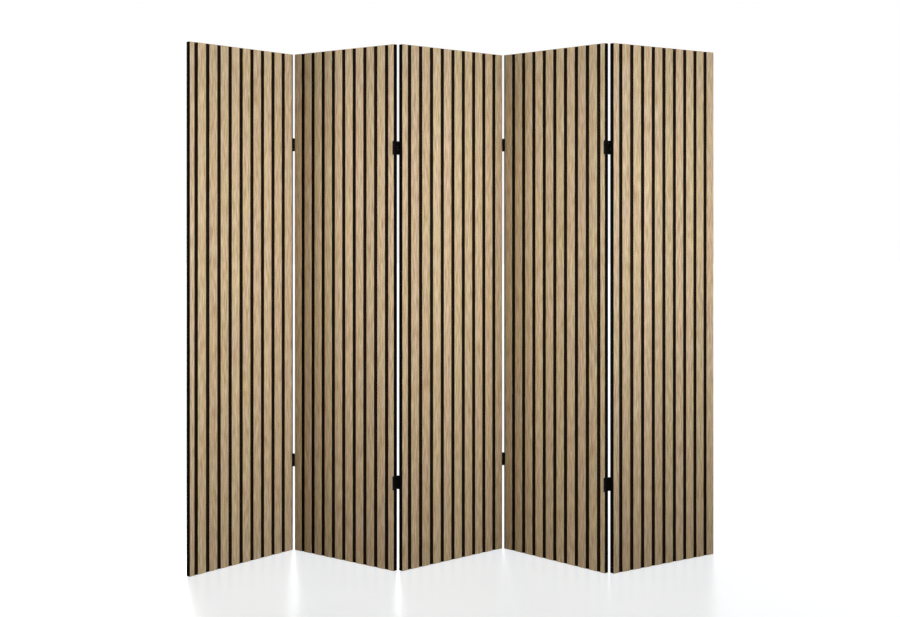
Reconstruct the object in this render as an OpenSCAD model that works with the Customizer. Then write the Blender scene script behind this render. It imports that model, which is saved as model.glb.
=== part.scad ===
// Folding slat room divider: five tall panels joined by two-way hinges, standing in a zigzag.
// Each panel is a hollow black sandwich with upright oak-faced slats on both faces.
// Frame: millimetres, +X along the standing screen, +Y away from the viewer, +Z up.
// The origin is on the floor under the middle of the third panel.

/* [Panel] */
// Width of one panel
panel_w = 450; // [340:1:600]
// Height of the screen
panel_h = 1720; // [1200:10:2000]
// Thickness of the hidden wooden frame
frame_t = 8; // [6:0.5:16]
// Thickness of each black backing board
board_t = 2; // [1.5:0.1:4]
// Thickness of a slat without its veneer
slat_t = 2.5; // [2:0.1:6]
// Thickness of the oak veneer on a slat
veneer_t = 0.5; // [0.4:0.1:1.5]

/* [Frame] */
// Width of each upright stile
stile_w = 40; // [30:1:80]
// Height of the top rail
top_rail_h = 60; // [40:1:100]
// Height of the middle rail
middle_rail_h = 60; // [40:1:100]
// Height of the bottom rail
bottom_rail_h = 80; // [40:1:120]

/* [Slats] */
// Width of a full slat
slat_w = 32.5; // [20:0.5:60]
// Black gap between two slats
slat_gap = 15; // [6:0.5:30]
// Margin beside the first slat of a panel with black edge strips
slat_margin = 5; // [2:0.5:15]
// Play between an edge strip and the first slat
strip_play = 0.2; // [0.1:0.1:0.5]
// Narrowest cut slat that is still fitted at the far edge
narrow_min = 8; // [4:0.5:15]

/* [Folds] */
// Turn of the third panel away from the X axis
lead_angle = 41.5; // [20:0.5:70]
// Fold between panels 1 and 2, front faces closing
fold_12 = 88; // [40:0.5:140]
// Fold between panels 2 and 3, rear faces closing
fold_23 = 79.5; // [40:0.5:140]
// Fold between panels 3 and 4, front faces closing
fold_34 = 87.5; // [40:0.5:140]
// Fold between panels 4 and 5, rear faces closing
fold_45 = 80; // [40:0.5:140]

/* [Hinges] */
// Centre of the lower hinges above the floor
hinge_low_z = 300; // [150:1:500]
// Centre of the upper hinges below the top edge
hinge_top_drop = 326; // [150:1:500]
// Height difference between hinges of neighbouring seams
hinge_stagger = 25; // [0:1:60]
// Height of a hinge leaf
leaf_h = 43.5; // [36:0.5:80]
// Thickness of the hinge leaves
leaf_t = 1.2; // [1:0.1:1.6]
// Play between neighbouring leaves when the seam is flat
leaf_play = 0.2; // [0.1:0.05:0.5]
// Distance from the end of an outer leaf to the panel's face
leaf_inset = 1.5; // [0.5:0.1:3]
// Diameter of the hinge pins
pin_d = 3; // [2:0.1:4]
// Radial running clearance of a pin in its knuckles
pin_fit = 0.05; // [0.02:0.01:0.1]
// Clearance between a barrel and the panel's corner
corner_clear = 0.2; // [0.1:0.05:0.6]
// Knuckles on each barrel, outer leaf and middle leaf together
knuckle_count = 5; // [3:2:7]
// Gap between neighbouring knuckles
knuckle_gap = 0.3; // [0.2:0.05:0.6]
// Thickness of the riveted heads on a pin
pin_head_t = 0.8; // [0.5:0.1:1.5]

/* [Screws] */
// Shank diameter of the leaf screws
screw_d = 2.5; // [2:0.1:3]
// Head diameter of the countersunk leaf screws
screw_head_d = 4.6; // [4.1:0.1:4.8]
// Length of the leaf screws
screw_l = 16; // [10:1:30]
// Distance between the two screws of one leaf
screw_spacing = 24; // [14:1:28]
// Clearance around a screw
screw_fit = 0.05; // [0.02:0.01:0.1]

/* [Hidden] */
$fn = 48;
oak = [0.77, 0.66, 0.51];
black_frame = [0.12, 0.11, 0.10];
black_board = [0.07, 0.065, 0.06];
black_slat = [0.10, 0.09, 0.08];
black_metal = [0.14, 0.14, 0.15];

FRONT = -1;
REAR = 1;
LEFT = -1;
RIGHT = 1;
folds = [fold_12, fold_23, fold_34, fold_45];
seam_count = len(folds);
panel_count = seam_count + 1;
root_panel = (panel_count + 1) / 2;

// Layers across a panel, from its middle plane outwards
board_y = frame_t / 2;
slat_y = board_y + board_t;
veneer_y = slat_y + slat_t;
face_y = veneer_y + veneer_t;

// The panels whose valley edges are closed by black strips: the slats of the others start at the edge
edged_panels = [for (p = [1 : panel_count]) if (is_edged(p)) p];
slat_pitch = slat_w + slat_gap;

// Hinge section, in a seam's own frame: x = 0 is the left panel's end, y = 0 its middle plane
seam_gap = 3 * leaf_t + 2 * leaf_play;
bore_r = pin_d / 2 + pin_fit;
barrel_r = bore_r + leaf_t;
axis_in = leaf_t + leaf_play / 2;
axis_proud = sqrt(pow(barrel_r + corner_clear, 2) - pow(axis_in, 2));
axis_y = face_y + axis_proud;
front_axis = [axis_in, -axis_y];
rear_axis = [seam_gap - axis_in, axis_y];
knuckle_h = (leaf_h - (knuckle_count - 1) * knuckle_gap) / knuckle_count;
knuckle_step = knuckle_h + knuckle_gap;
pin_head_r = bore_r + leaf_t / 2;

// A cut runs past the faces it opens by this much
past = 1;

PANEL_PIECES = [
    "stiles", "rails", "front_board", "rear_board", "front_slats", "rear_slats",
    "front_veneers", "rear_veneers", "hinge_leaves", "hinge_screws"
];
EDGE_STRIPS = "edge_strips";
SEAM_PIECES = ["middle_leaves", "hinge_pins"];
NODES = [
    for (p = [1 : panel_count], piece = PANEL_PIECES) panel_node(p, piece),
    for (p = edged_panels) panel_node(p, EDGE_STRIPS),
    for (s = [1 : seam_count], piece = SEAM_PIECES) seam_node(s, piece)
];
node = "all";

function panel_node(p, piece) = str("panel_", p, "_", piece);
function seam_node(s, piece) = str("seam_", s, s + 1, "_", piece);
function wanted(name) = node == "all" || node == name;

// ---- The zigzag: where each panel stands ----

function turn(point, angle) = [
    point[0] * cos(angle) - point[1] * sin(angle),
    point[0] * sin(angle) + point[1] * cos(angle)
];

// Odd seams fold about the front barrel, a valley, and even seams about the rear one, a mountain
function is_valley(s) = s % 2 == 1;
function turned_axis(s) = is_valley(s) ? front_axis : rear_axis;
function signed_fold(s) = is_valley(s) ? -folds[s - 1] : folds[s - 1];

function heading(p) =
    p == root_panel ? lead_angle
    : p > root_panel ? heading(p - 1) + signed_fold(p - 1)
    : heading(p + 1) - signed_fold(p);

// From the middle of panel s to the middle of panel s + 1, by way of the turned barrel
function seam_step(s) =
    turn([panel_w / 2, 0] + turned_axis(s), heading(s))
    + turn([seam_gap + panel_w / 2, 0] - turned_axis(s), heading(s + 1));

function middle(p) =
    p == root_panel ? [0, 0]
    : p > root_panel ? middle(p - 1) + seam_step(p - 1)
    : middle(p + 1) - seam_step(p);

module at_panel(p) {
    translate([middle(p)[0], middle(p)[1], 0])
        rotate([0, 0, heading(p)])
            children();
}

// The seam's frame, held by the panel on its left or by the one on its right
module at_seam(s, side) {
    if (side == LEFT)
        at_panel(s) translate([panel_w / 2, 0, 0]) children();
    else
        at_panel(s + 1) translate([-panel_w / 2 - seam_gap, 0, 0]) children();
}

// The middle leaf stays with the panel that its seam leaves unturned
function link_side(s) = is_valley(s) ? RIGHT : LEFT;

// The two hinge centres of a seam
function hinge_heights(s) =
    let (shift = (is_valley(s) ? 1 : -1) * hinge_stagger / 2)
    [hinge_low_z + shift, panel_h - hinge_top_drop + shift];

// ---- Panel pieces, in the panel's own frame ----

module block(x, width, y, depth, z, height) {
    translate([x, y, z])
        cube([width, depth, height]);
}

// One layer of material lying against the face of the layer below, on the front or on the rear
module layer(side, x, width, y, depth) {
    block(x, width, side == FRONT ? -y - depth : y, depth, 0, panel_h);
}

// Screw centres up one edge, as heights, for the seam at that edge
function screw_heights(s) = [
    for (z = hinge_heights(s), up = [-1, 1]) z + up * screw_spacing / 2
];

module stile(p, side) {
    x = side == LEFT ? -panel_w / 2 : panel_w / 2 - stile_w;
    seam = side == LEFT ? p - 1 : p;
    difference() {
        block(x, stile_w, -frame_t / 2, frame_t, 0, panel_h);
        if (seam >= 1 && seam <= seam_count)
            for (z = screw_heights(seam))
                translate([side * (panel_w / 2 + past), 0, z])
                    rotate([0, -side * 90, 0])
                        cylinder(r = screw_d / 2 + screw_fit, h = screw_l + past);
    }
}

module stiles(p) {
    color(black_frame) {
        stile(p, LEFT);
        stile(p, RIGHT);
    }
}

module rail(z, height) {
    block(-panel_w / 2 + stile_w, panel_w - 2 * stile_w, -frame_t / 2, frame_t, z, height);
}

module rails() {
    color(black_frame) {
        rail(0, bottom_rail_h);
        rail((panel_h - middle_rail_h) / 2, middle_rail_h);
        rail(panel_h - top_rail_h, top_rail_h);
    }
}

module board(side) {
    color(black_board)
        layer(side, -panel_w / 2, panel_w, board_y, board_t);
}

// The edge that slats are counted from is a front face's valley edge: the right one of an odd
// panel's front, and turned about for the rear face and for even panels
function first_side(p, side) = (p % 2 == 1 ? 1 : -1) * (side == FRONT ? 1 : -1);

// An upright strip of one face, at a distance from the edge that slats are counted from
module strip(p, side, from_edge, width, y, depth) {
    x = first_side(p, side) > 0 ? panel_w / 2 - from_edge - width : -panel_w / 2 + from_edge;
    layer(side, x, width, y, depth);
}

// The first panel and the last but one have edge strips
function is_edged(p) = p == 1 || p == panel_count - 1;
function margin(p) = is_edged(p) ? slat_margin : 0;
function full_slats(p) = floor((panel_w - margin(p)) / slat_pitch);

// The last slat is cut to what the full ones leave, if it is wide enough to be fitted
function last_w(p) = min(slat_w, panel_w - margin(p) - full_slats(p) * slat_pitch);
function slat_widths(p) = [
    for (i = [1 : full_slats(p)]) slat_w,
    if (last_w(p) >= narrow_min) last_w(p)
];

module strips(p, side, y, depth) {
    widths = slat_widths(p);
    for (i = [0 : len(widths) - 1])
        strip(p, side, margin(p) + i * slat_pitch, widths[i], y, depth);
}

module slats(p, side) {
    color(black_slat)
        strips(p, side, slat_y, slat_t);
}

module veneers(p, side) {
    color(oak)
        strips(p, side, veneer_y, veneer_t);
}

// The black strips that close the margins on both faces, as deep as a slat with its veneer
module edge_strips(p) {
    color(black_slat)
        for (side = [FRONT, REAR])
            strip(p, side, 0, slat_margin - strip_play, slat_y, slat_t + veneer_t);
}

// ---- Hinge pieces, in a seam's own frame and centred on the hinge's height ----

// The heights of every second knuckle, starting from the given one
function knuckle_bottoms(first) = [
    for (k = [first : 2 : knuckle_count - 1]) -leaf_h / 2 + k * knuckle_step
];

module knuckles(axis, first, r, above) {
    for (z = knuckle_bottoms(first))
        translate([axis[0], axis[1], z - above])
            cylinder(r = r, h = knuckle_h + 2 * above);
}

module bore(axis) {
    translate([axis[0], axis[1], -leaf_h / 2 - past])
        cylinder(r = bore_r, h = leaf_h + 2 * past);
}

module countersinks() {
    for (z = [-1, 1] * screw_spacing / 2)
        translate([leaf_t, 0, z])
            rotate([0, -90, 0])
                screw_body(screw_fit, leaf_t + past);
}

// The outer leaf of the front barrel, on the left panel's end
module front_leaf() {
    difference() {
        union() {
            translate([0, -axis_y, -leaf_h / 2])
                cube([leaf_t, axis_y + face_y - leaf_inset, leaf_h]);
            knuckles(front_axis, 0, barrel_r, 0);
        }
        knuckles(front_axis, 1, barrel_r + knuckle_gap, knuckle_gap);
        bore(front_axis);
        countersinks();
    }
}

// The outer leaf of the rear barrel is the same piece turned about, on the right panel's end
module rear_leaf() {
    translate([seam_gap, 0, 0])
        rotate([0, 0, 180])
            front_leaf();
}

module middle_leaf() {
    difference() {
        union() {
            translate([leaf_t + leaf_play, -axis_y, -leaf_h / 2])
                cube([leaf_t, 2 * axis_y, leaf_h]);
            knuckles(front_axis, 1, barrel_r, 0);
            knuckles(rear_axis, 1, barrel_r, 0);
        }
        knuckles(front_axis, 0, barrel_r + knuckle_gap, knuckle_gap);
        knuckles(rear_axis, 0, barrel_r + knuckle_gap, knuckle_gap);
        bore(front_axis);
        bore(rear_axis);
    }
}

module pin(axis) {
    translate([axis[0], axis[1], -leaf_h / 2 - knuckle_gap])
        cylinder(d = pin_d, h = leaf_h + 2 * knuckle_gap);
    for (z = [-leaf_h / 2 - knuckle_gap - pin_head_t, leaf_h / 2 + knuckle_gap])
        translate([axis[0], axis[1], z])
            cylinder(r = pin_head_r, h = pin_head_t);
}

// A countersunk screw with its flat head at the origin and its length along +Z
module screw_body(around, length) {
    head_depth = (screw_head_d - screw_d) / 2;
    cylinder(r1 = screw_head_d / 2 + around, r2 = screw_d / 2 + around, h = head_depth);
    cylinder(d = screw_d + 2 * around, h = length);
}

module hinge_leaves(p) {
    color(black_metal) {
        if (p <= seam_count)
            for (z = hinge_heights(p))
                translate([panel_w / 2, 0, z]) front_leaf();
        if (p > 1)
            for (z = hinge_heights(p - 1))
                translate([-panel_w / 2 - seam_gap, 0, z]) rear_leaf();
    }
}

module hinge_screws(p) {
    color(black_metal) {
        if (p <= seam_count)
            for (z = screw_heights(p))
                translate([panel_w / 2 + leaf_t, 0, z]) rotate([0, -90, 0]) screw_body(0, screw_l);
        if (p > 1)
            for (z = screw_heights(p - 1))
                translate([-panel_w / 2 - leaf_t, 0, z]) rotate([0, 90, 0]) screw_body(0, screw_l);
    }
}

module middle_leaves(s) {
    color(black_metal)
        for (z = hinge_heights(s))
            translate([0, 0, z]) middle_leaf();
}

module hinge_pins(s) {
    color(black_metal)
        for (z = hinge_heights(s), axis = [front_axis, rear_axis])
            translate([0, 0, z]) pin(axis);
}

// ---- The screen ----

for (p = [1 : panel_count]) {
    if (wanted(panel_node(p, "stiles"))) at_panel(p) stiles(p);
    if (wanted(panel_node(p, "rails"))) at_panel(p) rails();
    if (wanted(panel_node(p, "front_board"))) at_panel(p) board(FRONT);
    if (wanted(panel_node(p, "rear_board"))) at_panel(p) board(REAR);
    if (wanted(panel_node(p, "front_slats"))) at_panel(p) slats(p, FRONT);
    if (wanted(panel_node(p, "rear_slats"))) at_panel(p) slats(p, REAR);
    if (wanted(panel_node(p, "front_veneers"))) at_panel(p) veneers(p, FRONT);
    if (wanted(panel_node(p, "rear_veneers"))) at_panel(p) veneers(p, REAR);
    if (wanted(panel_node(p, "hinge_leaves"))) at_panel(p) hinge_leaves(p);
    if (wanted(panel_node(p, "hinge_screws"))) at_panel(p) hinge_screws(p);
}
for (p = edged_panels) {
    if (wanted(panel_node(p, EDGE_STRIPS))) at_panel(p) edge_strips(p);
}
for (s = [1 : seam_count]) {
    if (wanted(seam_node(s, "middle_leaves"))) at_seam(s, link_side(s)) middle_leaves(s);
    if (wanted(seam_node(s, "hinge_pins"))) at_seam(s, link_side(s)) hinge_pins(s);
}
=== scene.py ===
# The looks of a folding slat screen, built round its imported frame: oak-faced slats, black backing boards,
# two-way hinges with their pins and screws, and a plain stage. All lengths are in metres.

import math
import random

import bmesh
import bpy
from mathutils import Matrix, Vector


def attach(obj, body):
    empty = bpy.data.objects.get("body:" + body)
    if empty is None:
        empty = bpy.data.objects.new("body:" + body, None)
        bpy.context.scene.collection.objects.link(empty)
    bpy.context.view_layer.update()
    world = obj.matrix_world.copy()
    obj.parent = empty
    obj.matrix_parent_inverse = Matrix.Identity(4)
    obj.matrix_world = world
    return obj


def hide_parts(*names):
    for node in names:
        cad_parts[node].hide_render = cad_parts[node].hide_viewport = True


bl_info = {
    "name": "Folding slat screen",
    "version": (1, 0, 0),
    "blender": (4, 5, 0),
    "location": "View3D > Sidebar > Slat screen",
    "description": "Builds the slats, boards, hinges and finishes of a folding slat screen",
    "category": "Add Mesh",
}

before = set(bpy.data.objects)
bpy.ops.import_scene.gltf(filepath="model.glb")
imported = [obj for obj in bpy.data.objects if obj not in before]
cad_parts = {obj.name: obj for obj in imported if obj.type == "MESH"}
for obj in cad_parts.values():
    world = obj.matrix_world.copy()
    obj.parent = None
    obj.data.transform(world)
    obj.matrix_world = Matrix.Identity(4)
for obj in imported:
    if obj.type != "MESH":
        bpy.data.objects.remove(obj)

PANELS = range(1, 6)
SEAMS = range(1, 5)
EDGED_PANELS = (1, 4)
FRONT, REAR = -1, 1

# How close two places are that count as the same, and the area below which a face counts as none
TINY, SLIVER = 1e-6, 1e-9

# Roundings of the edges, too fine to be worth a slider
CORE_EASE = 0.00008
STRIP_EASE = 0.0004
BOARD_EASE = 0.00025
LEAF_CORNER = 0.0025
LEAF_EASE = 0.00012
SCREW_EASE = 0.00006

# The angles in degrees between faces up to which they shade as one, and above which an edge is rounded
SHADED_AS_ONE, SHARP_EDGE = 35, 38

# A barrel: its knuckles, and the angle in degrees and the depth of the groove where their rolled sheet ends
KNUCKLES = 5
ROLL_END = 58
ROLL_GROOVE = 0.0003


# ---- Sizes and colours that a user would change ----


def length(name, value, text):
    return bpy.props.FloatProperty(
        name=name, description=text, default=value, min=0.0, precision=5, subtype="DISTANCE", unit="LENGTH"
    )


def colour(name, value, text):
    return bpy.props.FloatVectorProperty(
        name=name, description=text, default=value, size=3, min=0.0, max=1.0, subtype="COLOR"
    )


class SlatScreenSizes(bpy.types.PropertyGroup):
    panel_width: length("Panel width", 0.45, "Width of one panel")
    panel_height: length("Panel height", 1.72, "Height of the screen")
    board_face: length("Board face", 0.006, "From a panel's middle plane to the outer face of its boards")
    board_depth: length("Board thickness", 0.002, "Thickness of a backing board")
    core_depth: length("Core thickness", 0.0025, "Thickness of a slat's black core")
    veneer_depth: length("Veneer thickness", 0.0005, "Thickness of the oak veneer on a slat")
    slat_width: length("Slat width", 0.0325, "Width of a full slat")
    slat_gap: length("Slat gap", 0.015, "Black gap between two slats")
    slat_margin: length("Margin", 0.005, "From the edge to the first slat, on a panel with black edge strips")
    strip_play: length("Strip play", 0.0002, "Between an edge strip and the first slat")
    slat_ease: length("Slat easing", 0.00022, "Rounding of a slat's long edges")
    seam_gap: length("Seam gap", 0.004, "Room for the hinge between two panels that stand in line")
    hinge_low: length("Lower hinge", 0.300, "Centre of the lower hinges above the floor")
    hinge_high: length("Upper hinge", 1.394, "Centre of the upper hinges above the floor")
    hinge_stagger: length("Hinge stagger", 0.025, "Height difference between hinges of neighbouring seams")
    leaf_height: length("Leaf height", 0.0435, "Height of a hinge leaf")
    leaf_depth: length("Leaf thickness", 0.0012, "Thickness of a hinge leaf")
    leaf_inset: length("Leaf inset", 0.0015, "From the end of an outer leaf to the panel's face")
    leaf_play: length("Leaf play", 0.0002, "Play between neighbouring leaves")
    axis_in: length("Pin inset", 0.0013, "From the panel's end to the axis of its pin")
    axis_out: length("Pin reach", 0.011648, "From a panel's middle plane to the axis of its pin")
    pin_radius: length("Pin radius", 0.0015, "Radius of a hinge pin")
    bore_radius: length("Bore radius", 0.00155, "Radius of the bore in a knuckle")
    knuckle_gap: length("Knuckle gap", 0.0003, "Gap between neighbouring knuckles")
    head_depth: length("Pin head", 0.0008, "Height of the riveted head on a pin")
    screw_length: length("Screw length", 0.016, "Length of the screws in the leaves")
    screw_radius: length("Screw radius", 0.00125, "Radius of a screw's shank")
    screw_head: length("Screw head", 0.0023, "Radius of a screw's countersunk head")
    screw_spacing: length("Screw spacing", 0.024, "Distance between the two screws of a leaf")


class SlatScreenColours(bpy.types.PropertyGroup):
    oak_light: colour("Oak", (0.83, 0.705, 0.57), "The pale wood between the grain lines")
    oak_dark: colour("Oak grain", (0.35, 0.235, 0.137), "The darker grain lines")
    oak_pore: colour("Oak pores", (0.22, 0.14, 0.075), "The open pores in the grain")
    oak_rose: colour("Oak rose", (1.0, 0.918, 0.885), "Tint of the stretches that lean to red")
    oak_straw: colour("Oak straw", (0.975, 1.0, 0.825), "Tint of the stretches that lean to yellow")
    oak_pale: colour("Oak pale", (0.965, 0.985, 1.0), "Tint of the narrow pale stretches")
    oak_amber: colour("Oak amber", (1.0, 0.95, 0.79), "Tint of the narrow warm stretches")
    core: colour("Slat core", (0.009, 0.006, 0.004), "Dyed core of the slats")
    board: colour("Backing board", (0.014, 0.0083, 0.0048), "Backing boards between the slats")
    paint: colour("Frame paint", (0.0012, 0.0012, 0.0012), "Painted stiles and rails")
    hinge: colour("Hinge", (0.002, 0.002, 0.0021), "Powder-coated hinge leaves and screws")
    bare_steel: colour("Worn steel", (0.10, 0.10, 0.105), "Steel where the coat of a hinge is rubbed through")
    floor: colour("Floor", (0.34, 0.30, 0.23), "Light that the floor throws back")


# ---- Modelling by hand, with every step chosen in code ----


def select_only(*objects):
    if bpy.context.object and bpy.context.object.mode != "OBJECT":
        bpy.ops.object.mode_set(mode="OBJECT")
    bpy.ops.object.select_all(action="DESELECT")
    for chosen in objects:
        chosen.select_set(True)
    bpy.context.view_layer.objects.active = objects[0] if objects else None


def settle(piece):
    """Moves the piece's place into its mesh."""
    select_only(piece)
    bpy.ops.object.transform_apply(location=True, rotation=True, scale=True)
    return piece


def block(name, low, high):
    """A block between its lowest and highest corner, to be shaped further."""
    select_only()
    low, high = Vector(low), Vector(high)
    bpy.ops.mesh.primitive_cube_add(size=1, location=(low + high) / 2)
    piece = bpy.context.object
    piece.name, piece.scale = name, high - low
    return settle(piece)


def rod(name, at, radius, low, high, sides=40):
    """An upright rod at a point of the plan, between two heights."""
    select_only()
    bpy.ops.mesh.primitive_cylinder_add(
        vertices=sides, radius=radius, depth=high - low, location=(at[0], at[1], (low + high) / 2)
    )
    piece = bpy.context.object
    piece.name = name
    return settle(piece)


def shape(piece, kind, test, operator, **settings):
    """Runs one edit mode operator on the edges or faces that pass the test."""
    select_only(piece)
    bpy.ops.object.mode_set(mode="EDIT")
    bpy.ops.mesh.select_mode(type=kind)
    bpy.ops.mesh.select_all(action="DESELECT")
    mesh = bmesh.from_edit_mesh(piece.data)
    for part in mesh.edges if kind == "EDGE" else mesh.faces:
        if test(part):
            part.select_set(True)
    bmesh.update_edit_mesh(piece.data)
    operator(**settings)
    bpy.ops.object.mode_set(mode="OBJECT")


def round_edges(piece, test, width, segments):
    shape(piece, "EDGE", test, bpy.ops.mesh.bevel, offset=width, segments=segments, affect="EDGES")


def extrude_faces(piece, test, rise):
    """Pulls the faces out along z."""
    pull = {"value": (0, 0, rise)}
    shape(piece, "FACE", test, bpy.ops.mesh.extrude_region_move, TRANSFORM_OT_translate=pull)


def widen_faces(piece, test, x, y, height):
    """Scales level faces round the z axis."""
    shape(piece, "FACE", test, bpy.ops.transform.resize, value=(x, y, 1), center_override=(0, 0, height))


def looks_up(face):
    return face.normal.z > 0.9


def cap_at(end, height):
    """A test for the face that closes a rod's upper or lower end, and not the rings round it."""
    def test(face):
        at_end = face.calc_center_median().z * end > height - TINY
        return at_end and face.normal.z * end > 0.9 and face.calc_area() > SLIVER
    return test


def middle_of(edge):
    return (edge.verts[0].co + edge.verts[1].co) / 2


def runs_along_x(edge):
    line = edge.verts[1].co - edge.verts[0].co
    return abs(line.x) > 0.999 * line.length


def top_of(piece):
    return max(v.co.z for v in piece.data.vertices)


def modify(piece, kind, **settings):
    """Adds a modifier and applies it."""
    select_only(piece)
    modifier = piece.modifiers.new(kind.title(), kind)
    for name, value in settings.items():
        setattr(modifier, name, value)
    bpy.ops.object.modifier_apply(modifier=modifier.name)


def cut(piece, cutter):
    modify(piece, "BOOLEAN", operation="DIFFERENCE", solver="EXACT", object=cutter)
    bpy.data.objects.remove(cutter)


def unite(piece, other):
    modify(piece, "BOOLEAN", operation="UNION", solver="EXACT", object=other)
    bpy.data.objects.remove(other)


def smooth(piece):
    select_only(piece)
    bpy.ops.object.shade_smooth_by_angle(angle=math.radians(SHADED_AS_ONE))


def soften(piece, width):
    """Rounds every sharp edge."""
    sharp = math.radians(SHARP_EDGE)
    modify(piece, "BEVEL", width=width, segments=2, limit_method="ANGLE", angle_limit=sharp)
    smooth(piece)


def copy_of(pattern, place=Matrix.Identity(4)):
    """A copy of the pattern with its own mesh, moved to a place."""
    piece = pattern.copy()
    piece.data = pattern.data.copy()
    bpy.context.scene.collection.objects.link(piece)
    piece.data.transform(place)
    return piece


def join(name, pieces):
    select_only(*pieces)
    bpy.ops.object.join()
    piece = bpy.context.object
    piece.name = piece.data.name = name
    return piece


def coat(thing, material):
    thing.data.materials.clear()
    thing.data.materials.append(material)


def finish_piece(piece, body, material, node):
    """Coats the piece, lets it ride on its body and stand for its node."""
    if not piece.data.polygons:
        raise RuntimeError(f"{piece.name} has no faces")
    coat(piece, material)
    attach(piece, body)
    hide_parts(node)


# ---- Where things stand ----


def move(x=0.0, y=0.0, z=0.0):
    return Matrix.Translation((x, y, z))


def turn(degrees, axis="Z"):
    return Matrix.Rotation(math.radians(degrees), 4, axis)


def middle_of_node(node):
    corners = {tuple(round(c, 6) for c in v.co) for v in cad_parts[node].data.vertices}
    return sum((Vector(c) for c in corners), Vector()) / len(corners)


def panel_place(panel):
    """The panel's own frame: x along it, y towards its rear face, z up."""
    front = middle_of_node(f"panel_{panel}_front_board")
    rear = middle_of_node(f"panel_{panel}_rear_board")
    through = rear - front
    middle = (front + rear) / 2
    heading = math.atan2(-through.x, through.y)
    return move(middle.x, middle.y) @ Matrix.Rotation(heading, 4, "Z")


def is_valley(seam):
    """True where the seam lies away from the viewer, between two front faces that close together."""
    return seam % 2 == 1


def right_end(panel, sizes):
    """The frame of the hinge at the panel's right end: x away from the panel, from its end."""
    return panel_place(panel) @ move(x=sizes.panel_width / 2)


def left_end(panel, sizes):
    """The frame of the hinge at the panel's left end: x towards the panel, from its neighbour's end."""
    return panel_place(panel) @ move(x=-sizes.panel_width / 2 - sizes.seam_gap)


def middle_leaf_place(seam, sizes):
    """The frame of the seam's hinges in which their middle leaf stands square at rest."""
    return left_end(seam + 1, sizes) if is_valley(seam) else right_end(seam, sizes)


def hinge_heights(seam, sizes):
    shift = sizes.hinge_stagger / (2 if is_valley(seam) else -2)
    return sizes.hinge_low + shift, sizes.hinge_high + shift


def from_first_edge(panel, side, start, width, sizes):
    """The left edge of a strip that starts so far from the edge that the slats are counted from."""
    if (panel % 2 == 1) == (side == FRONT):
        return sizes.panel_width / 2 - start - width
    return start - sizes.panel_width / 2


def slat_places(panel, side, sizes):
    """(left edge, width) of every slat on one face."""
    pitch = sizes.slat_width + sizes.slat_gap
    margin = sizes.slat_margin if panel in EDGED_PANELS else 0.0
    places = []
    for slat in range(math.ceil((sizes.panel_width - margin) / pitch)):
        start = margin + slat * pitch
        width = min(sizes.slat_width, sizes.panel_width - start)
        places.append((from_first_edge(panel, side, start, width, sizes), width))
    return places


# ---- Finishes ----


class Finish:
    """A new material, with short calls that add nodes to it."""

    def __init__(self, name):
        self.material = bpy.data.materials.new(name)
        self.material.use_nodes = True
        self.tree = self.material.node_tree
        self.surface = self.tree.nodes["Principled BSDF"]

    def node(self, kind, inputs=None, **settings):
        made = self.tree.nodes.new("ShaderNode" + kind)
        for name, value in settings.items():
            setattr(made, name, value)
        for name, value in (inputs or {}).items():
            self.put(made.inputs[name], value)
        return made

    def put(self, socket, value):
        if isinstance(value, bpy.types.NodeSocket):
            self.tree.links.new(value, socket)
        else:
            socket.default_value = value

    def on_object(self):
        return self.node("TexCoord").outputs["Object"]

    def attribute(self, name):
        return self.node("Attribute", attribute_name=name).outputs["Vector"]

    def noise(self, at, per_metre, detail=2.0, roughness=0.5):
        stretched = self.node("VectorMath", {0: at, 1: per_metre}, operation="MULTIPLY").outputs[0]
        inputs = {"Vector": stretched, "Scale": 1.0, "Detail": detail, "Roughness": roughness}
        return self.node("TexNoise", inputs).outputs[0]

    def math(self, operation, a, b=0.0, c=0.0):
        return self.node("Math", {0: a, 1: b, 2: c}, operation=operation).outputs[0]

    def between(self, value, low, high, new_low=0.0, new_high=1.0):
        return self.node("MapRange", {0: value, 1: low, 2: high, 3: new_low, 4: new_high}).outputs[0]

    def layer(self, at, per_metre, detail, roughness, low, high):
        """Noise that goes from 0 to 1 between two of its values."""
        return self.between(self.noise(at, per_metre, detail, roughness), low, high)

    def mix(self, factor, a, b, blend_type="MIX"):
        return self.node("Mix", {0: factor, 6: a, 7: b}, data_type="RGBA", blend_type=blend_type).outputs[2]

    def tinted(self, a, b):
        return self.mix(1.0, a, b, "MULTIPLY")

    def grey(self, level):
        return self.node("CombineXYZ", {0: level, 1: level, 2: level}).outputs[0]

    def bump(self, height, depth, strength):
        inputs = {"Height": height, "Distance": depth, "Strength": strength}
        self.put(self.surface.inputs["Normal"], self.node("Bump", inputs).outputs[0])

    def paint(self, **inputs):
        for name, value in inputs.items():
            self.put(self.surface.inputs[name.replace("_", " ")], value)
        return self.material


def solid(rgb):
    return (*rgb, 1.0)


# Layers of the oak: bumps per metre across, through and along a slat, the noise's detail and roughness,
# and the two values between which the layer goes from none to full
FLECKS = (240.0, 240.0, 20.0), 2.0, 0.5, 0.33, 0.67
LINES = (850.0, 850.0, 7.0), 3.0, 0.6, 0.32, 0.68
FIBRES = (2600.0, 2600.0, 30.0), 2.0, 0.5, 0.25, 0.75
HUE_DRIFT = (150.0, 150.0, 9.0), 2.0, 0.5, 0.34, 0.66
WARM_STREAKS = (290.0, 290.0, 11.0), 2.0, 0.5, 0.36, 0.64

# How far each layer takes the wood to the dark, and a pore to its own colour
FLECK_SHARE, RING_SHARE, LINE_SHARE, FIBRE_SHARE, PORE_SHARE = 0.52, 0.22, 0.20, 0.10, 0.55

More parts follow.
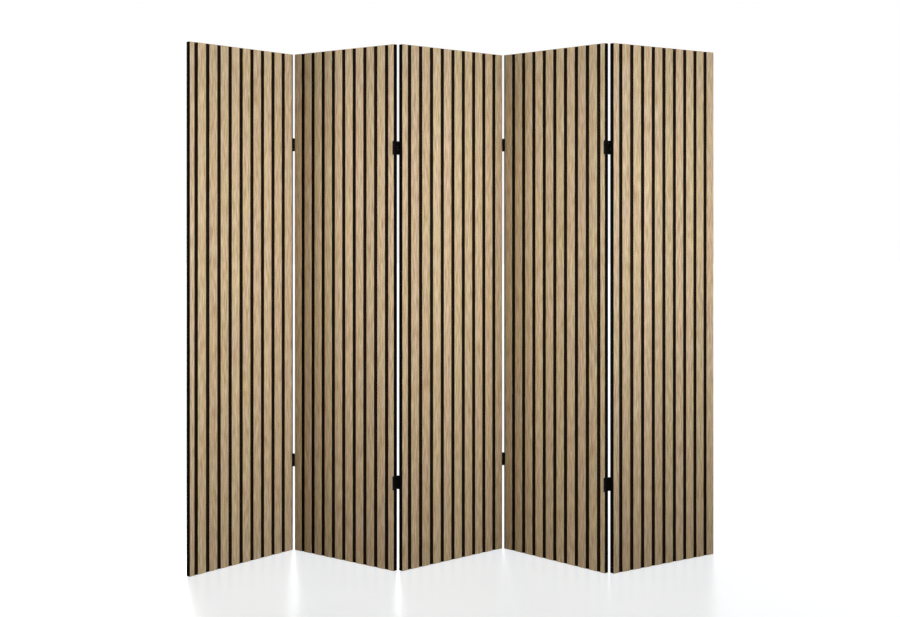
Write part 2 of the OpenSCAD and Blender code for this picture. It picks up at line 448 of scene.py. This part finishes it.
# The growth rings, the part of each over which it darkens, and how they and the grain stray along a slat
RINGS_PER_METRE, RING_RISE = 170.0, 0.84
RING_WANDER, RING_REACH = (30.0, 30.0, 2.2), 0.060
GRAIN_SWAY, SWAY_REACH = (14.0, 14.0, 2.6), 0.022

# The pores: the noise value above which they open, and how much sooner where a ring is dark
PORES, PORE_START, PORE_IN_RING = (2300.0, 2300.0, 85.0), 0.71, 0.10

# How slats differ: brightness of the darkest, the palest and the painted highlight along a slat's long edges,
# and how far the hue leans
DARKEST_SLAT, PALEST_SLAT, PAINTED_HIGHLIGHT, SLAT_LEAN = 0.95, 1.05, 1.08, 0.4


def oak_finish(colours):
    """Matt lacquered oak veneer, its grain upright in each slat's own coordinates."""
    oak = Finish("oak_veneer")
    grain = oak.attribute("grain")
    slat = oak.node("SeparateXYZ", {0: oak.attribute("slat")})
    tone, lean, edge = slat.outputs

    # Growth rings: bands across the slat that wander up its length, and arch where they wander fast
    wander = oak.math("SUBTRACT", oak.noise(grain, RING_WANDER, detail=3.0, roughness=0.55), 0.5)
    across = oak.node("SeparateXYZ", {0: grain}).outputs[0]
    ring_place = oak.math("MULTIPLY_ADD", wander, RING_REACH, across)
    ring_wave = oak.math("FRACT", oak.math("MULTIPLY", ring_place, RINGS_PER_METRE))
    ring = oak.math("MULTIPLY", ring_wave, oak.between(ring_wave, RING_RISE, 1.0, 1.0, 0.0))

    # Flecks a few millimetres wide, the long fine lines between them, the fibres, and the open pores
    sway = oak.math("SUBTRACT", oak.noise(grain, GRAIN_SWAY, detail=0.0), 0.5)
    bend = oak.node("CombineXYZ", {0: oak.math("MULTIPLY", sway, SWAY_REACH)}).outputs[0]
    flow = oak.node("VectorMath", {0: grain, 1: bend}, operation="ADD").outputs[0]
    fleck = oak.layer(flow, *FLECKS)
    line = oak.layer(flow, *LINES)
    fibre = oak.layer(flow, *FIBRES)
    pore_seed = oak.noise(flow, PORES, detail=1.0)
    pore_start = oak.math("MULTIPLY_ADD", ring, -PORE_IN_RING, PORE_START)
    pore = oak.between(oak.math("SUBTRACT", pore_seed, pore_start), 0.0, 0.05)

    darkness = oak.math("MULTIPLY_ADD", fleck, FLECK_SHARE, oak.math("MULTIPLY", ring, RING_SHARE))
    darkness = oak.math("MULTIPLY_ADD", line, LINE_SHARE, darkness)
    darkness = oak.math("MULTIPLY_ADD", fibre, FIBRE_SHARE, darkness)
    wood = oak.mix(darkness, solid(colours.oak_light), solid(colours.oak_dark))
    wood = oak.mix(oak.math("MULTIPLY", pore, PORE_SHARE), wood, solid(colours.oak_pore))

    # The hue drifts between rose and straw from stretch to stretch and from slat to slat, and narrow
    # stretches are paler or warmer
    hue = oak.math("MULTIPLY_ADD", oak.math("SUBTRACT", lean, 0.5), SLAT_LEAN, oak.layer(grain, *HUE_DRIFT))
    wood = oak.tinted(wood, oak.mix(hue, solid(colours.oak_rose), solid(colours.oak_straw)))
    warmth = oak.layer(flow, *WARM_STREAKS)
    wood = oak.tinted(wood, oak.mix(warmth, solid(colours.oak_pale), solid(colours.oak_amber)))

    # A painted highlight: the outer parts of each slat's width, near its long edges, are painted lighter
    painted_highlight = oak.between(oak.math("ABSOLUTE", edge), 0.88, 1.0, 1.0, PAINTED_HIGHLIGHT)
    level = oak.math("MULTIPLY", painted_highlight, oak.between(tone, 0.0, 1.0, DARKEST_SLAT, PALEST_SLAT))
    wood = oak.tinted(wood, oak.grey(level))

    relief = oak.math("MULTIPLY_ADD", pore, -1.0, oak.math("MULTIPLY", fibre, 0.35))
    oak.bump(relief, 0.00012, 0.6)
    gloss = oak.math("MULTIPLY_ADD", pore, 0.2, oak.between(fibre, 0.0, 1.0, 0.52, 0.64))
    return oak.paint(Base_Color=wood, Roughness=gloss, Specular_IOR_Level=0.2)


def black_finish(name, tint, grain, roughness, relief, brushed=1.0):
    """Matt black with fine grain, in bumps per metre: dyed fibreboard, or paint brushed on lengthwise."""
    black = Finish(name)
    at = black.on_object()
    fine = black.noise(at, (grain, grain, grain / brushed), detail=3.0, roughness=0.6)
    cloud = black.noise(at, (14.0, 14.0, 5.0))
    speckled, clouded = black.between(fine, 0.3, 0.7, 0.62, 1.45), black.between(cloud, 0.3, 0.7, 0.85, 1.2)
    black.bump(fine, relief, 0.5)
    return black.paint(
        Base_Color=black.tinted(solid(tint), black.grey(black.math("MULTIPLY", speckled, clouded))),
        Roughness=black.between(cloud, 0.3, 0.7, roughness - 0.05, roughness + 0.06),
        Specular_IOR_Level=0.02,
    )


def hinge_finish(name, coating, bare, wear):
    """Black powder coat with its fine pebbled skin, rubbed through in small spots."""
    metal = Finish(name)
    at = metal.on_object()
    pebble = metal.noise(at, (2600.0, 2600.0, 2600.0), detail=1.0)
    rub = metal.noise(at, (420.0, 420.0, 160.0), detail=4.0, roughness=0.7)
    worn = metal.between(rub, 0.74 - wear, 0.80 - wear)
    metal.bump(pebble, 0.00003, 0.6)
    return metal.paint(
        Base_Color=metal.mix(worn, solid(coating), solid(bare)),
        Metallic=metal.math("MULTIPLY", worn, 0.9),
        Roughness=metal.between(worn, 0.0, 1.0, 0.46, 0.34),
        Specular_IOR_Level=0.06,
    )


FINISHES = {}


def finish(name):
    """The named material, made on first use from the scene's colours."""
    if name not in FINISHES:
        colours = bpy.context.scene.slat_screen_colours
        make = {
            "oak": lambda: oak_finish(colours),
            "core": lambda: black_finish("dyed_core", colours.core, 1500.0, 0.78, 0.00006),
            "board": lambda: black_finish("backing_board", colours.board, 900.0, 0.82, 0.00008),
            "paint": lambda: black_finish("frame_paint", colours.paint, 700.0, 0.62, 0.00004, brushed=9.0),
            "hinge": lambda: hinge_finish("powder_coat", colours.hinge, colours.bare_steel, 0.0),
            "pin": lambda: hinge_finish("pin_steel", colours.hinge, colours.bare_steel, 0.06),
        }
        FINISHES[name] = make[name]()
    return FINISHES[name]


# ---- Slats, edge strips and boards ----

# Every slat takes its grain from its own spot of a field, by draws that are the same each run
GRAIN_SEED, GRAIN_FIELD = 27, 40


def strip_pattern(name, width, back, depth, height, ease):
    """One upright strip for a front face, its back in the plane y = -back."""
    outer = -back - depth
    strip = block(name, (0, outer, 0), (width, -back, height))
    round_edges(strip, lambda e: abs(middle_of(e).y - outer) < TINY, ease, 3)
    return strip


def put_on_face(strip, panel, side, left, width):
    """Moves a strip, drawn for a front face from x = 0, to its place on a face of a panel."""
    spot = move(x=left) if side == FRONT else move(x=left + width) @ turn(180)
    strip.data.transform(panel_place(panel) @ spot)
    return strip


def mark_grain(strip, width, chance):
    """Writes the slat's own grain coordinates, and its tone, its lean and the place across its width."""
    shift = Vector((chance.uniform(0, GRAIN_FIELD), 0, chance.uniform(0, GRAIN_FIELD)))
    tone, lean = chance.random(), chance.random()
    points = strip.data.vertices
    grain = strip.data.attributes.new("grain", "FLOAT_VECTOR", "POINT")
    slat = strip.data.attributes.new("slat", "FLOAT_VECTOR", "POINT")
    grain.data.foreach_set("vector", [c for p in points for c in p.co + shift])
    slat.data.foreach_set("vector", [c for p in points for c in (tone, lean, 2 * p.co.x / width - 1)])


def face_of_strips(name, pattern, panel, side, sizes, chance=None):
    """All the slats of one face in one piece, the far edge of the pattern moved in for a narrow one."""
    strips = []
    for left, width in slat_places(panel, side, sizes):
        strip = copy_of(pattern)
        for corner in strip.data.vertices:
            if corner.co.x > sizes.slat_width / 2:
                corner.co.x += width - sizes.slat_width
        if chance is not None:
            mark_grain(strip, width, chance)
        strips.append(put_on_face(strip, panel, side, left, width))
    piece = join(name, strips)
    smooth(piece)
    return piece


class SLAT_SCREEN_OT_slats(bpy.types.Operator):
    """Build the black slat cores and the oak veneers that face them"""

    bl_idname = "slat_screen.slats"
    bl_label = "Slats"
    bl_options = {"REGISTER", "UNDO"}

    def execute(self, context):
        sizes = context.scene.slat_screen_sizes
        width, height = sizes.slat_width, sizes.panel_height
        core = strip_pattern("core", width, sizes.board_face, sizes.core_depth, height, CORE_EASE)
        core_face = sizes.board_face + sizes.core_depth
        veneer = strip_pattern("veneer", width, core_face, sizes.veneer_depth, height, sizes.slat_ease)
        chance = random.Random(GRAIN_SEED)
        for panel in PANELS:
            for side, face in ((FRONT, "front"), (REAR, "rear")):
                cores = face_of_strips(f"panel_{panel}_cores_{face}", core, panel, side, sizes)
                oak = face_of_strips(f"panel_{panel}_oak_{face}", veneer, panel, side, sizes, chance)
                body, node = f"panel_{panel}", f"panel_{panel}_{face}"
                finish_piece(cores, body, finish("core"), f"{node}_slats")
                finish_piece(oak, body, finish("oak"), f"{node}_veneers")
        bpy.data.objects.remove(core)
        bpy.data.objects.remove(veneer)
        return {"FINISHED"}


class SLAT_SCREEN_OT_edge_strips(bpy.types.Operator):
    """Build the black strips that close the margins at the edges of some panels"""

    bl_idname = "slat_screen.edge_strips"
    bl_label = "Edge strips"
    bl_options = {"REGISTER", "UNDO"}

    def execute(self, context):
        sizes = context.scene.slat_screen_sizes
        width, depth = sizes.slat_margin - sizes.strip_play, sizes.core_depth + sizes.veneer_depth
        pattern = strip_pattern("edge_strip", width, sizes.board_face, depth, sizes.panel_height, STRIP_EASE)
        smooth(pattern)
        for panel in EDGED_PANELS:
            strips = []
            for side in (FRONT, REAR):
                left = from_first_edge(panel, side, 0.0, width, sizes)
                strips.append(put_on_face(copy_of(pattern), panel, side, left, width))
            piece = join(f"panel_{panel}_edge_strip_pair", strips)
            body = f"panel_{panel}"
            finish_piece(piece, body, finish("core"), f"panel_{panel}_edge_strips")
        bpy.data.objects.remove(pattern)
        return {"FINISHED"}


class SLAT_SCREEN_OT_boards(bpy.types.Operator):
    """Build the backing boards with eased edges, and paint the hidden frame"""

    bl_idname = "slat_screen.boards"
    bl_label = "Boards and frame"
    bl_options = {"REGISTER", "UNDO"}

    def execute(self, context):
        sizes = context.scene.slat_screen_sizes
        half, face, depth = sizes.panel_width / 2, sizes.board_face, sizes.board_depth
        board = block("board", (-half, -face, 0), (half, depth - face, sizes.panel_height))
        round_edges(board, lambda e: abs(middle_of(e).y + face) < TINY, BOARD_EASE, 2)
        smooth(board)
        for panel in PANELS:
            for angle, side in ((0, "front"), (180, "rear")):
                piece = copy_of(board, panel_place(panel) @ turn(angle))
                piece.name = f"panel_{panel}_backing_{side}"
                body, node = f"panel_{panel}", f"panel_{panel}_{side}_board"
                finish_piece(piece, body, finish("board"), node)
            for kind in ("stiles", "rails"):
                coat(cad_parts[f"panel_{panel}_{kind}"], finish("paint"))
        bpy.data.objects.remove(board)
        return {"FINISHED"}


# ---- Hinges ----


def knuckle_pitch(sizes):
    """(height, step) of the knuckles in a barrel."""
    height = (sizes.leaf_height - (KNUCKLES - 1) * sizes.knuckle_gap) / KNUCKLES
    return height, height + sizes.knuckle_gap


def knuckle_feet(sizes, first):
    """The lower ends of every second knuckle, from the first one on."""
    step = knuckle_pitch(sizes)[1]
    return [-sizes.leaf_height / 2 + knuckle * step for knuckle in range(first, KNUCKLES, 2)]


def rolled_knuckle(axis, foot, sizes, roll_end):
    """A knuckle with a groove where its rolled sheet ends, at an angle from x."""
    height = knuckle_pitch(sizes)[0]
    outer = sizes.bore_radius + sizes.leaf_depth
    knuckle = rod("knuckle", axis, outer, foot, foot + height, sides=36)
    angle = math.radians(roll_end)
    toward = Vector((math.cos(angle), math.sin(angle), 0))
    one_side = math.cos(math.radians(5))
    shape(
        knuckle, "FACE", lambda f: f.normal.dot(toward) > one_side,
        bpy.ops.mesh.extrude_region_shrink_fatten, TRANSFORM_OT_shrink_fatten={"value": -ROLL_GROOVE},
    )
    return knuckle


def barrel(leaf, axis, first, sizes, roll_end):
    """Clears the leaf round the other leaf's knuckles, adds its own and bores them."""
    height = knuckle_pitch(sizes)[0]
    outer, gap = sizes.bore_radius + sizes.leaf_depth, sizes.knuckle_gap
    for foot in knuckle_feet(sizes, 1 - first):
        cut(leaf, rod("room", axis, outer + gap, foot - gap, foot + height + gap))
    for foot in knuckle_feet(sizes, first):
        unite(leaf, rolled_knuckle(axis, foot, sizes, roll_end))
    reach = sizes.leaf_height
    cut(leaf, rod("bore", axis, sizes.bore_radius, -reach, reach, sides=32))


def countersink(sizes, z):
    """A cutter for one screw hole, from the leaf's outer face inwards."""
    thick, spare, play = sizes.leaf_depth, 0.0004, 0.00005
    rim = sizes.screw_head + play
    select_only()
    bpy.ops.mesh.primitive_cone_add(
        vertices=32, radius1=rim - thick - spare, radius2=rim + spare, depth=thick + 2 * spare,
        location=(thick / 2, 0, z), rotation=(0, math.pi / 2, 0),
    )
    return settle(bpy.context.object)


class SLAT_SCREEN_OT_outer_leaves(bpy.types.Operator):
    """Build the outer hinge leaves that are screwed to the panels' ends"""

    bl_idname = "slat_screen.outer_leaves"
    bl_label = "Outer hinge leaves"
    bl_options = {"REGISTER", "UNDO"}

    def execute(self, context):
        sizes = context.scene.slat_screen_sizes
        half, thick = sizes.leaf_height / 2, sizes.leaf_depth
        far = sizes.board_face + sizes.core_depth + sizes.veneer_depth - sizes.leaf_inset
        leaf = block("outer_leaf", (0, -sizes.axis_out, -half), (thick, far, half))
        round_edges(leaf, lambda e: runs_along_x(e) and middle_of(e).y > 0, LEAF_CORNER, 6)
        barrel(leaf, (sizes.axis_in, -sizes.axis_out), 0, sizes, ROLL_END)
        for side in (-1, 1):
            cut(leaf, countersink(sizes, side * sizes.screw_spacing / 2))
        soften(leaf, LEAF_EASE)
        for panel in PANELS:
            leaves = []
            if panel in SEAMS:
                place = right_end(panel, sizes)
                leaves += [copy_of(leaf, place @ move(z=z)) for z in hinge_heights(panel, sizes)]
            if panel - 1 in SEAMS:
                place = left_end(panel, sizes) @ move(x=sizes.seam_gap) @ turn(180)
                leaves += [copy_of(leaf, place @ move(z=z)) for z in hinge_heights(panel - 1, sizes)]
            piece = join(f"panel_{panel}_outer_leaves", leaves)
            body = f"panel_{panel}"
            finish_piece(piece, body, finish("hinge"), f"panel_{panel}_hinge_leaves")
        bpy.data.objects.remove(leaf)
        return {"FINISHED"}


class SLAT_SCREEN_OT_middle_leaves(bpy.types.Operator):
    """Build the middle hinge leaves that carry a barrel on both sides"""

    bl_idname = "slat_screen.middle_leaves"
    bl_label = "Middle hinge leaves"
    bl_options = {"REGISTER", "UNDO"}

    def execute(self, context):
        sizes = context.scene.slat_screen_sizes
        half, reach = sizes.leaf_height / 2, sizes.axis_out
        near = sizes.leaf_depth + sizes.leaf_play
        leaf = block("middle_leaf", (near, -reach, -half), (near + sizes.leaf_depth, reach, half))
        front, rear = (sizes.axis_in, -reach), (sizes.seam_gap - sizes.axis_in, reach)
        barrel(leaf, front, 1, sizes, 180 - ROLL_END)
        barrel(leaf, rear, 1, sizes, -ROLL_END)
        soften(leaf, LEAF_EASE)
        for seam in SEAMS:
            place = middle_leaf_place(seam, sizes)
            leaves = [copy_of(leaf, place @ move(z=z)) for z in hinge_heights(seam, sizes)]
            piece = join(f"seam_{seam}{seam + 1}_middle_leaf_pair", leaves)
            body, node = f"link_{seam}{seam + 1}", f"seam_{seam}{seam + 1}_middle_leaves"
            finish_piece(piece, body, finish("hinge"), node)
        bpy.data.objects.remove(leaf)
        return {"FINISHED"}


class SLAT_SCREEN_OT_pins(bpy.types.Operator):
    """Build the hinge pins with their riveted heads"""

    bl_idname = "slat_screen.pins"
    bl_label = "Hinge pins"
    bl_options = {"REGISTER", "UNDO"}

    def execute(self, context):
        sizes = context.scene.slat_screen_sizes
        top = sizes.leaf_height / 2 + sizes.knuckle_gap
        flare = (sizes.bore_radius + sizes.leaf_depth / 2) / sizes.pin_radius
        pin = rod("pin", (0, 0), sizes.pin_radius, -top, top, sides=32)
        for end in (-1, 1):
            cap = cap_at(end, top)
            extrude_faces(pin, cap, 0)
            widen_faces(pin, cap, flare, flare, end * top)
            extrude_faces(pin, cap, end * sizes.head_depth)
        crown = top + sizes.head_depth
        round_edges(pin, lambda e: abs(abs(middle_of(e).z) - crown) < TINY, sizes.head_depth * 0.6, 5)
        smooth(pin)
        for seam in SEAMS:
            place = middle_leaf_place(seam, sizes)
            pins = []
            for z in hinge_heights(seam, sizes):
                pins.append(copy_of(pin, place @ move(sizes.axis_in, -sizes.axis_out, z)))
                pins.append(copy_of(pin, place @ move(sizes.seam_gap - sizes.axis_in, sizes.axis_out, z)))
            piece = join(f"seam_{seam}{seam + 1}_pins", pins)
            body, node = f"link_{seam}{seam + 1}", f"seam_{seam}{seam + 1}_hinge_pins"
            finish_piece(piece, body, finish("pin"), node)
        bpy.data.objects.remove(pin)
        return {"FINISHED"}


def screw_pattern(sizes):
    """A countersunk screw, its head's face at z = 0 and its point up."""
    rim, shank, tip = sizes.screw_head, sizes.screw_radius, sizes.screw_length
    straight, point = tip * 0.78, 0.18
    screw = rod("screw", (0, 0), rim, 0, rim - shank, sides=32)
    widen_faces(screw, looks_up, shank / rim, shank / rim, rim - shank)
    extrude_faces(screw, looks_up, straight - top_of(screw))
    extrude_faces(screw, looks_up, tip - top_of(screw))
    widen_faces(screw, looks_up, point, point, tip)
    reach, half, depth, spare = rim * 0.52, rim * 0.1, 0.0007, 0.001
    for angle in (0, 90):
        wing = block("wing", (-reach, -half, -spare), (reach, half, depth))
        widen_faces(wing, looks_up, 0.5, 0.6, depth)
        wing.data.transform(turn(angle))
        cut(screw, wing)
    soften(screw, SCREW_EASE)
    return screw


class SLAT_SCREEN_OT_screws(bpy.types.Operator):
    """Build the countersunk screws with their cross recess"""

    bl_idname = "slat_screen.screws"
    bl_label = "Leaf screws"
    bl_options = {"REGISTER", "UNDO"}

    def execute(self, context):
        sizes = context.scene.slat_screen_sizes
        screw = screw_pattern(sizes)
        out = sizes.panel_width / 2 + sizes.leaf_depth
        for panel in PANELS:
            place = panel_place(panel)
            ends = [(panel, out, -90), (panel - 1, -out, 90)]
            screws = [
                copy_of(screw, place @ move(x, 0, z + up * sizes.screw_spacing / 2) @ turn(angle, "Y"))
                for seam, x, angle in ends
                if seam in SEAMS
                for z in hinge_heights(seam, sizes)
                for up in (-1, 1)
            ]
            piece = join(f"panel_{panel}_leaf_screws", screws)
            body = f"panel_{panel}"
            finish_piece(piece, body, finish("hinge"), f"panel_{panel}_hinge_screws")
        bpy.data.objects.remove(screw)
        return {"FINISHED"}


# ---- The stage ----

# Name, place, the point it is aimed at, width and height, power in watts, spread in degrees
LAMPS = (
    ("right_light", (2.58, -3.69, 1.5), (-1.05, 0, 1.12), (3.6, 0.6), 19.6, 46),
    ("left_light", (-3.24, -3.13, 1.5), (2.25, 0, 1.06), (3.6, 0.6), 14.8, 46),
    ("back_light", (-1.5, 4.2, 1.9), (0, 0, 1.1), (3.6, 0.8), 26, 60),
)

# Strength of the white surround, as light on the screen and where it is seen
SURROUND_LIGHT, SURROUND_SEEN = 0.28, 1.0

# The camera's place, its lens and sensor in millimetres, and its shift down
CAMERA_PLACE = (-0.0077, -4.4682, 1.1568)
LENS, SENSOR, CAMERA_SHIFT = 52.87, 36.0, -0.102

# The floor lies just under the screen, reaches far behind it, and glows a little where it is seen
FLOOR_SIZE, FLOOR_PLACE = 40, (0, 8, -0.0002)
FLOOR_GLOW, FLOOR_GLOW_TINT = 0.75, (0.90, 0.947, 1.0)


def lamp(name, at, toward, size, power, spread):
    select_only()
    bpy.ops.object.light_add(type="AREA", location=at)
    light = bpy.context.object
    light.name = name
    light.data.shape = "RECTANGLE"
    light.data.size, light.data.size_y = size
    light.data.energy, light.data.spread = power, math.radians(spread)
    light.rotation_euler = (Vector(toward) - Vector(at)).to_track_quat("-Z", "Y").to_euler()


def seen_directly(tree):
    """1 for what the camera sees, also in gloss or through glass, and 0 for the light thrown about."""
    rays = tree.nodes.new("ShaderNodeLightPath").outputs
    seen = rays["Is Camera Ray"]
    for ray in ("Is Glossy Ray", "Is Transmission Ray"):
        either = tree.nodes.new("ShaderNodeMath")
        either.operation = "MAXIMUM"
        tree.links.new(seen, either.inputs[0])
        tree.links.new(rays[ray], either.inputs[1])
        seen = either.outputs[0]
    return seen


def surround():
    """White where it is seen, and a soft even light on the screen."""
    world = bpy.data.worlds.new("surround")
    world.use_nodes = True
    tree = world.node_tree
    strength = tree.nodes.new("ShaderNodeMapRange")
    strength.inputs["To Min"].default_value = SURROUND_LIGHT
    strength.inputs["To Max"].default_value = SURROUND_SEEN
    background = tree.nodes["Background"]
    background.inputs["Color"].default_value = (1, 1, 1, 1)
    tree.links.new(seen_directly(tree), strength.inputs["Value"])
    tree.links.new(strength.outputs[0], background.inputs["Strength"])
    return world


def floor_finish(tint):
    """A pale, slightly glossy floor that keeps the shadow, lifted to near white where it is seen."""
    floor = Finish("pale_floor")
    mottle = floor.between(floor.noise(floor.on_object(), (3.0, 3.0, 3.0), detail=3.0), 0.3, 0.7, 0.97, 1.0)
    glow = floor.math("MULTIPLY", seen_directly(floor.tree), FLOOR_GLOW)
    return floor.paint(
        Base_Color=solid(tint),
        Roughness=0.28,
        Specular_IOR_Level=0.5,
        Emission_Color=solid(FLOOR_GLOW_TINT),
        Emission_Strength=floor.math("MULTIPLY", glow, mottle),
    )


class SLAT_SCREEN_OT_stage(bpy.types.Operator):
    """Build the floor, the white surround, the lamps and the camera"""

    bl_idname = "slat_screen.stage"
    bl_label = "Stage"
    bl_options = {"REGISTER", "UNDO"}

    def execute(self, context):
        scene = context.scene
        select_only()
        bpy.ops.mesh.primitive_plane_add(size=FLOOR_SIZE, location=FLOOR_PLACE)
        floor = bpy.context.object
        floor.name = "floor"
        coat(floor, floor_finish(scene.slat_screen_colours.floor))
        scene.world = surround()
        for settings in LAMPS:
            lamp(*settings)
        select_only()
        bpy.ops.object.camera_add(location=CAMERA_PLACE, rotation=(math.pi / 2, 0, 0))
        scene.camera = bpy.context.object
        scene.camera.data.sensor_width, scene.camera.data.lens = SENSOR, LENS
        scene.camera.data.shift_y = CAMERA_SHIFT
        scene.view_settings.view_transform = "Standard"
        return {"FINISHED"}


# ---- The add-on ----

OPERATORS = (
    SLAT_SCREEN_OT_slats,
    SLAT_SCREEN_OT_edge_strips,
    SLAT_SCREEN_OT_boards,
    SLAT_SCREEN_OT_outer_leaves,
    SLAT_SCREEN_OT_middle_leaves,
    SLAT_SCREEN_OT_pins,
    SLAT_SCREEN_OT_screws,
    SLAT_SCREEN_OT_stage,
)


class SLAT_SCREEN_PT_panel(bpy.types.Panel):
    """Sizes, colours and buttons of the folding slat screen"""

    bl_idname = "SLAT_SCREEN_PT_panel"
    bl_label = "Folding slat screen"
    bl_space_type = "VIEW_3D"
    bl_region_type = "UI"
    bl_category = "Slat screen"

    def draw(self, context):
        for operator in OPERATORS:
            self.layout.operator(operator.bl_idname)
        for group in (context.scene.slat_screen_sizes, context.scene.slat_screen_colours):
            box = self.layout.box()
            for name in group.__annotations__:
                box.prop(group, name)


CLASSES = (SlatScreenSizes, SlatScreenColours, *OPERATORS, SLAT_SCREEN_PT_panel)


def register():
    for kind in CLASSES:
        bpy.utils.register_class(kind)
    bpy.types.Scene.slat_screen_sizes = bpy.props.PointerProperty(type=SlatScreenSizes)
    bpy.types.Scene.slat_screen_colours = bpy.props.PointerProperty(type=SlatScreenColours)


def unregister():
    del bpy.types.Scene.slat_screen_sizes, bpy.types.Scene.slat_screen_colours
    for kind in reversed(CLASSES):
        bpy.utils.unregister_class(kind)


def main():
    register()
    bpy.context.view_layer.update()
    bpy.ops.slat_screen.slats()
    bpy.ops.slat_screen.edge_strips()
    bpy.ops.slat_screen.boards()
    bpy.ops.slat_screen.outer_leaves()
    bpy.ops.slat_screen.middle_leaves()
    bpy.ops.slat_screen.pins()
    bpy.ops.slat_screen.screws()
    bpy.ops.slat_screen.stage()


if __name__ == "__main__":
    main()
